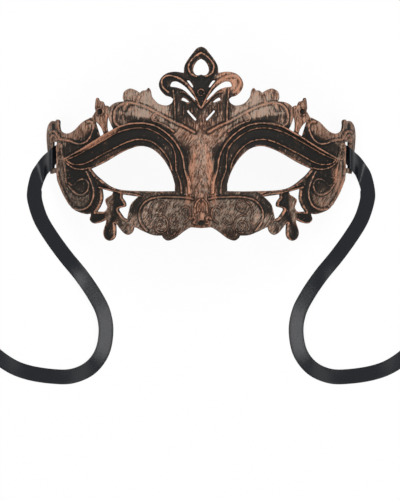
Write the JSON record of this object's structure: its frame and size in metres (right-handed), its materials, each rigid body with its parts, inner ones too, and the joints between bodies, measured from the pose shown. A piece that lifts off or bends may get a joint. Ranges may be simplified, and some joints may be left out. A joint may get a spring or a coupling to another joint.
{
  "type": "venetian masquerade mask",
  "caption": "Half-face masquerade mask with a pierced crest, scroll relief and two satin tie ribbons.",
  "frame": {"origin": "middle of the shell's width and height, on the surface that the mask lies on", "axes": "+Z out of the face, +Y towards the crest, +X towards the wearer's left eye"},
  "size_m": [0.2774, 0.1921, 0.0595],
  "materials": {
    "antique_copper": "black moulded plastic, dry-brushed with copper paint",
    "black_satin": "satin ribbon",
    "hot_glue": "translucent hot-melt glue"
  },
  "bodies": {
    "root": {"mask_shell": "antique_copper", "left_ribbon": "black_satin", "right_ribbon": "black_satin", "left_glue_pad": "hot_glue", "right_glue_pad": "hot_glue"}
  },
  "joints": []
}
